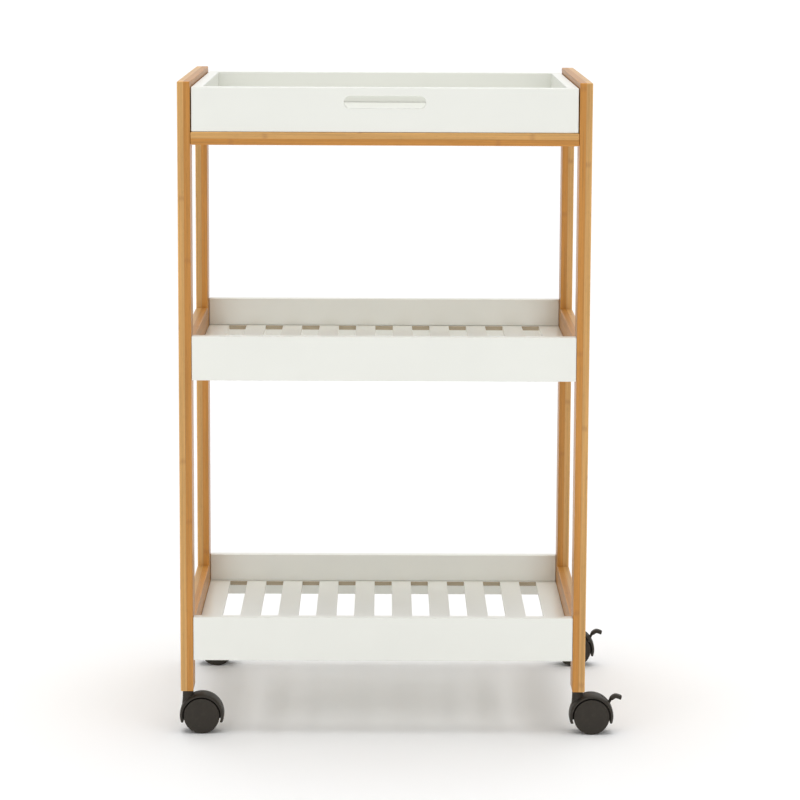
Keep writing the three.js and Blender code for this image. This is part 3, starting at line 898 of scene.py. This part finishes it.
LEVER = {
    "pivot": (12.5 * MM, 9.5 * MM),
    "bends": [(18.6 * MM, 12.8 * MM), (22.2 * MM, 18.6 * MM), (27.2 * MM, 21.8 * MM)],
    "tip": (33.6 * MM, 19.9 * MM),
    "steps": 48,
    "corners": 24,
    "blade_half": 1.5 * MM,
    "pad_half": 4.5 * MM,
    "blade_half_thick": 1.6 * MM,
    "pad_half_thick": 2.3 * MM,
    "widens": (0.42, 0.56),
    "rounds_from": 0.95,
    "end_size": 0.72,
    "trunnion": 1.6 * MM,
    "trunnion_ease": 0.35 * MM,
    "knuckle": 2.4 * MM,
    "shoe": (8.6 * MM, 12.7 * MM),
    "shoe_round": 1.4 * MM,
    "shoe_half_long": 7.5 * MM,
    "ear": 3 * MM,
    "ear_steps": 20,
    "rod_sides": 24,
    "side_power": 0.5,
    "face_power": 0.55,
    "end_width_share": 0.6,
    "tangent_step": 0.01,
}


def hood_radius(y):
    """The hood's outer radius across its width: full in the middle, falling to a thin rim."""
    share = min(1.0, abs(y) / HOOD["half_wide"])
    fall = 1 - math.sqrt(max(0.0, 1 - share**4))
    return HOOD["outer"] - (HOOD["outer"] - HOOD["rim_outer"]) * fall


def hood_shell(braked):
    """The hood's curved shell, crowned across its width, open where the brake lever comes out."""
    around = HOOD["steps"]
    half_across = (LEVER_SLOT["half_wide"], *HOOD["across"], HOOD["half_wide"])
    across = [-y for y in reversed(half_across)] + [0.0] + list(half_across)
    step = (HOOD["to"] - HOOD["from"]) / around
    bm = bmesh.new()
    outer, inner = [], []
    for i in range(around + 1):
        angle = math.radians(HOOD["from"] + step * i)
        ray = Vector((math.cos(angle), 0, math.sin(angle)))
        outer.append([bm.verts.new(ray * hood_radius(y) + Vector((0, y, 0))) for y in across])
        inner.append([bm.verts.new(ray * HOOD["inner"] + Vector((0, y, 0))) for y in across])

    def solid(i, j):
        if not (0 <= i < around and 0 <= j < len(across) - 1):
            return False
        degrees = HOOD["from"] + step * (i + 0.5)
        in_slot = LEVER_SLOT["from"] < degrees < LEVER_SLOT["to"]
        narrow = abs(across[j] + across[j + 1]) / 2 < LEVER_SLOT["half_wide"]
        return not (braked and in_slot and narrow)

    for i in range(around):
        for j in range(len(across) - 1):
            if not solid(i, j):
                continue
            a, b, c, d = (i, j), (i + 1, j), (i + 1, j + 1), (i, j + 1)
            bm.faces.new([outer[p][q] for p, q in (a, b, c, d)])
            bm.faces.new([inner[p][q] for p, q in (d, c, b, a)])
            walls = (((i - 1, j), a, d), ((i + 1, j), c, b), ((i, j - 1), b, a), ((i, j + 1), d, c))
            for beside, start, end in walls:
                if not solid(*beside):
                    ring = [outer[start[0]][start[1]], outer[end[0]][end[1]]]
                    ring += [inner[end[0]][end[1]], inner[start[0]][start[1]]]
                    bm.faces.new(ring)
    loose = [vert for vert in bm.verts if not vert.link_faces]
    bmesh.ops.delete(bm, geom=loose, context="VERTS")
    sharp = [edge for edge in bm.edges if edge.calc_face_angle(0) > SHARP_ABOVE]
    bmesh.ops.bevel(
        bm, geom=sharp, offset=HOOD["edge"], segments=HOOD["edge_steps"], profile=0.5, affect="EDGES"
    )
    return carved(bm, [stem_bore()])


def stem_bore():
    """A cutter for the stem's bore in the hood's shell, neck and web."""
    bore, high = HOOD["bore"], HOOD["bore_long"]
    profile = [(0, 0), (bore, 0), (bore, high), (0, high)]
    bm = turned(profile, Z, (0, 0, 0), HOOD["bore_sides"])
    foot = HOOD["bore_foot"] - WHEEL["radius"]
    bm.transform(Matrix.Translation((-STEM_TO_WHEEL, 0, foot)))
    return bm


def hood_neck():
    """The stem's housing: a round neck that flares into the hood's top."""
    rows = HOOD["neck_steps"]
    segments = HOOD["neck_sides"]
    bm = bmesh.new()
    rings = []
    sunk = HOOD["outer"] - HOOD["neck_sunk"]
    top = HOOD["neck_top"] - WHEEL["radius"]
    for row in range(rows + 1):
        up = row / rows
        flare = HOOD["neck_flare"] * (1 - up) ** 3
        radius = HOOD["neck"] + flare
        ring = []
        for i in range(segments):
            angle = 2 * math.pi * i / segments
            x = -STEM_TO_WHEEL + radius * math.cos(angle)
            x = max(x, -HOOD["outer"] + HOOD["neck_inside"])
            y = radius * math.sin(angle)
            foot = math.sqrt(max(0.0, sunk**2 - x**2))
            ring.append(bm.verts.new((x, y, foot + (top - foot) * up)))
        rings.append(ring)
    for lower, upper in zip(rings, rings[1:]):
        for i in range(segments):
            j = (i + 1) % segments
            bm.faces.new((lower[i], lower[j], upper[j], upper[i]))
    bm.faces.new(rings[0][::-1])
    bm.faces.new(rings[-1])
    bmesh.ops.triangulate(bm, faces=[face for face in bm.faces if len(face.verts) > 4])
    return carved(bm, [stem_bore()])


def hood_web(braked):
    """The wall between the two wheels, with the hub round the axle and, if braked, the lever's ears."""
    reach = (HOOD["inner"] + HOOD["outer"]) / 2
    half = HOOD["web_half"]
    through = half + MM

    def sector(start, end):
        return prism([(0, 0)] + arc((0, 0), reach, start, end, HOOD["web_steps"]), -half, half)

    joined = [prism(circle((0, 0), HOOD["hub"]), -half, half)]
    cutters = [prism(circle((0, 0), WHEEL["bore"]), -through, through), stem_bore()]
    web = sector(HOOD["web_from"], HOOD["web_to"])
    if braked:
        gap_from, gap_to = LEVER_SLOT["web_gap"]
        web = sector(HOOD["web_from"], gap_from)
        joined.append(sector(gap_to, HOOD["web_to"]))
        px, pz = LEVER["pivot"]
        angle = math.atan2(pz, px)
        ear = arc((0, 0), LEVER["ear"], 90, 270, LEVER["ear_steps"])
        long = reach - math.hypot(px, pz)
        ear += [(long, -LEVER["ear"]), (long, LEVER["ear"])]
        cos, sin = math.cos(angle), math.sin(angle)
        ear = [(px + x * cos - z * sin, pz + x * sin + z * cos) for x, z in ear]
        joined.append(prism(ear, -half, half))
        slot = [on_circle(LEVER_SLOT["root"], LEVER_SLOT["root_from"])]
        past = HOOD["outer"] + 2 * MM
        slot += arc((0, 0), past, LEVER_SLOT["from"], LEVER_SLOT["to"], LEVER_SLOT["steps"])
        slot.append(on_circle(LEVER_SLOT["root"], LEVER_SLOT["to"]))
        cutters.append(prism(slot, -LEVER_SLOT["half_wide"], LEVER_SLOT["half_wide"]))
        trunnion = circle((px, pz), LEVER["trunnion"] + LEVER["trunnion_ease"])
        cutters.append(prism(trunnion, -through, through))
    return carved(web, cutters, joined)


def wheel_mesh(outer_side):
    """One wheel: a rounded tread, a plain outer disc with a faint rim step, and ribs inside."""
    w = WHEEL
    radius, inner, outer, edge = w["radius"], w["inner"], w["outer"], w["edge"]
    web = outer - w["web"]
    small = w["small_edge"]
    profile = [(0, web), (w["bore"], web), (w["bore"], inner)]
    profile += [(w["hub"] - small, inner), (w["hub"], inner + small), (w["hub"], web)]
    profile += [(w["rim_inner"], web), (w["rim_inner"], inner + small)]
    profile += [(w["rim_inner"] + small, inner)]
    profile += arc((radius - edge, inner + edge), edge, -90, 0, w["edge_steps"])
    profile += arc((radius - edge, outer - edge), edge, 0, 90, w["edge_steps"])
    step = radius - w["rim_step"]
    deep = w["step_deep"]
    profile += [(step, outer), (step - deep, outer - deep), (0, outer - deep)]
    disc = turned(profile, Z, (0, 0, 0), w["sides"])
    ribs = []
    middle = ((w["rim_inner"] + w["hub"]) / 2, 0, web + small - w["rib_deep"] / 2)
    size = (w["rim_inner"] - w["hub"] + 2 * small, w["rib_thick"], w["rib_deep"], 1)
    for i in range(w["ribs"]):
        rib = bmesh.new()
        turn = Matrix.Rotation(2 * math.pi * i / w["ribs"], 4, "Z")
        place = turn @ Matrix.Translation(middle) @ Matrix.Diagonal(size)
        bmesh.ops.create_cube(rib, size=1, matrix=place)
        ribs.append(rib)
    made = carved(disc, joined=ribs)
    made.transform(Matrix.Rotation(-outer_side * math.pi / 2, 4, "X"))
    return made


def lever_point(t):
    """A point on the lever's middle line and the direction across it, by a Catmull-Rom spline."""
    line = [LEVER["pivot"], *LEVER["bends"], LEVER["tip"]]
    spans = len(line) - 1
    span = min(int(t * spans), spans - 1)
    u = t * spans - span
    p = [Vector(line[max(0, min(spans, span + k))]) for k in (-1, 0, 1, 2)]

    def at(u):
        a = 2 * p[1] + (p[2] - p[0]) * u
        b = (2 * p[0] - 5 * p[1] + 4 * p[2] - p[3]) * u**2
        c = (3 * p[1] - p[0] - 3 * p[2] + p[3]) * u**3
        return (a + b + c) / 2

    near = LEVER["tangent_step"]
    along = (at(u + near) - at(u - near)).normalized()
    return at(u), Vector((-along.y, along.x))


def between(low, high, share):
    return low + (high - low) * share


def lever_mesh():
    """A brake lever: a narrow blade that widens into a rounded, curled pad, and its shoe."""
    steps = LEVER["steps"]
    corners = LEVER["corners"]
    bm = bmesh.new()
    rings = []
    for i in range(steps + 1):
        t = i / steps
        middle, across = lever_point(t)
        from_t, to_t = LEVER["widens"]
        share = min(1.0, max(0.0, (t - from_t) / (to_t - from_t)))
        share = share**2 * (3 - 2 * share)
        half_wide = between(LEVER["blade_half"], LEVER["pad_half"], share)
        half_thick = between(LEVER["blade_half_thick"], LEVER["pad_half_thick"], share)
        end = max(0.0, (t - LEVER["rounds_from"]) / (1 - LEVER["rounds_from"]))
        shrink = between(1.0, LEVER["end_size"], 1 - math.sqrt(1 - end**2))
        ring = []
        for k in range(corners):
            angle = 2 * math.pi * k / corners
            # A superellipse: flat faces and round edges.
            c, s = math.cos(angle), math.sin(angle)
            end_width = between(shrink, 1.0, LEVER["end_width_share"])
            y = half_wide * math.copysign(abs(c) ** LEVER["side_power"], c) * end_width
            out = half_thick * math.copysign(abs(s) ** LEVER["face_power"], s) * shrink
            ring.append(bm.verts.new((middle.x + across.x * out, y, middle.y + across.y * out)))
        rings.append(ring)
    for lower, upper in zip(rings, rings[1:]):
        for k in range(corners):
            j = (k + 1) % corners
            bm.faces.new((lower[k], lower[j], upper[j], upper[k]))
    bm.faces.new(rings[0][::-1])
    bm.faces.new(rings[-1])
    px, pz = LEVER["pivot"]
    sx, sz = LEVER["shoe"]
    half = LEVER["blade_half"]

    def rod(x, z, radius, reach):
        return prism(circle((x, z), radius, LEVER["rod_sides"]), -reach, reach)

    arm_across = Vector((-(sz - pz), sx - px)).normalized() * LEVER["shoe_round"]
    arm = [
        (px + arm_across.x, pz + arm_across.y),
        (px - arm_across.x, pz - arm_across.y),
        (sx - arm_across.x, sz - arm_across.y),
        (sx + arm_across.x, sz + arm_across.y),
    ]
    joined = [
        rod(px, pz, LEVER["knuckle"], half),
        rod(px, pz, LEVER["trunnion"], HOOD["web_half"]),
        prism(arm, -half, half),
        rod(sx, sz, LEVER["shoe_round"], LEVER["shoe_half_long"]),
    ]
    return carved(bm, joined=joined)


def stem_mesh(box):
    """The swivel stem: a plated pin with a flange under the leg."""
    lo, hi = box
    middle = (lo + hi) / 2
    radius, bevel = STEM["radius"], STEM["bevel"]
    flange, low, high = STEM["flange"], STEM["flange_low"], STEM["flange_high"]
    ease = STEM["flange_bevel"]
    profile = [
        (0, lo.z),
        (radius - bevel, lo.z),
        (radius, lo.z + bevel),
        (radius, low),
        (flange - ease, low),
        (flange, low + ease),
        (flange, high - ease),
        (flange - ease, high),
        (radius, high),
        (radius, hi.z - bevel),
        (radius - bevel, hi.z),
        (0, hi.z),
    ]
    return turned(profile, Z, (middle.x, middle.y, 0), 48)


def tube_mesh(box, bore):
    """An upright open ring, as tall and wide as its box."""
    lo, hi = box
    middle = (lo + hi) / 2
    radius = (hi.x - lo.x) / 2
    foot = (middle.x, middle.y, lo.z)
    high = hi.z - lo.z
    wall = [(bore, 0), (radius, 0), (radius, high), (bore, high), (bore, 0)]
    return welded(turned(wall, Z, foot, 48))


STEM_TO_WHEEL = (
    middle_of("front_left_caster_axle").x - middle_of("front_left_caster_stem").x
)


def make_caster(end, side):
    corner = f"{end}_{side}"
    braked = side == "right"
    body = f"{corner}_caster"
    axle_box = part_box(f"{corner}_caster_axle")
    centre = (axle_box[0] + axle_box[1]) / 2
    home = Matrix.Translation(centre)
    plastic = nylon(corner + "_nylon", centre)
    metal = zinc(corner + "_zinc", centre)

    hood = (f"{corner}_caster_hood",)
    meshes = {"shell": hood_shell(braked), "neck": hood_neck(), "web": hood_web(braked)}
    for part, mesh in meshes.items():
        mesh.transform(home)
        show(f"{corner}_hood_{part}", mesh, body, plastic, hood, MOULDED_SMOOTH)

    half = (axle_box[1].y - axle_box[0].y) / 2
    bevel = AXLE["bevel"]
    radius = AXLE["radius"]
    profile = [(0, -half), (radius - bevel, -half), (radius, -half + bevel)]
    profile += [(radius, half - bevel), (radius - bevel, half), (0, half)]
    axle = turned(profile, Y, centre, AXLE["sides"])
    show(f"{corner}_axle_pin", axle, body, metal, (f"{corner}_caster_axle",))

    for face, outer_side in ENDS:
        node = f"{corner}_caster_{face}_wheel"
        wheel = wheel_mesh(outer_side)
        wheel.transform(home)
        rubber = nylon(node + "_nylon", centre, WHEEL["radius"])
        show(node + "_moulded", wheel, node, rubber, (node,), MOULDED_SMOOTH)

    if braked:
        node = f"{corner}_brake_lever"
        lever = lever_mesh()
        lever.transform(home)
        brake = f"{corner}_brake"
        show(node + "_moulded", lever, brake, plastic, (node,), LEVER_SMOOTH)

    node = f"{corner}_caster_stem"
    show(node + "_plated", stem_mesh(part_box(node)), "frame", metal, (node,))
    node = f"{corner}_leg_insert"
    ring = tube_mesh(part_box(node), INSERT_BORE)
    show(node + "_plated", ring, "frame", metal, (node,))


# ---------- floor and light ----------

STUDIO = {"floor": (0.97, 0.97, 0.97), "floor_half": 80, "sky": 0.34}
# Wide soft lamps. tilt is a lamp's angle from straight overhead, and turn 0 shines towards the back.
LAMPS = {
    "left": {"strength": 0.48, "tilt": 70, "turn": -35, "spread": 50},
    "right": {"strength": 0.48, "tilt": 70, "turn": 35, "spread": 50},
    "top": {"strength": 1.75, "tilt": 3, "turn": 180, "spread": 50},
    "back": {"strength": 0.62, "tilt": 60, "turn": 180, "spread": 70},
}


def make_studio():
    size = STUDIO["floor_half"]
    mesh = bpy.data.meshes.new("floor")
    corners = [(-size, -size, 0), (size, -size, 0), (size, size, 0), (-size, size, 0)]
    mesh.from_pydata(corners, [], [(0, 1, 2, 3)])
    floor = bpy.data.objects.new("floor", mesh)
    bpy.context.scene.collection.objects.link(floor)
    g = Graph("floor_white")
    g.set(Base_Color=(*STUDIO["floor"], 1), Roughness=0.9, Specular_IOR_Level=0.1)
    mesh.materials.append(g.material)

    world = bpy.data.worlds.new("studio")
    world.use_nodes = True
    back = world.node_tree.nodes["Background"]
    back.inputs["Color"].default_value = (1.0, 1.0, 1.0, 1)
    back.inputs["Strength"].default_value = STUDIO["sky"]
    bpy.context.scene.world = world

    for name, setting in LAMPS.items():
        data = bpy.data.lights.new(f"{name}_lamp", "SUN")
        data.energy = setting["strength"]
        data.angle = math.radians(setting["spread"])
        lamp = bpy.data.objects.new(f"{name}_lamp", data)
        lamp.rotation_euler = (math.radians(setting["tilt"]), 0, math.radians(setting["turn"]))
        bpy.context.scene.collection.objects.link(lamp)
    bpy.context.scene.view_settings.view_transform = "Standard"


make_camera()
make_legs()
make_side_rails()
make_cross_rails()
make_shelves()
make_tray()
make_screws()
for end, side, _ in CORNERS:
    make_caster(end, side)
make_studio()
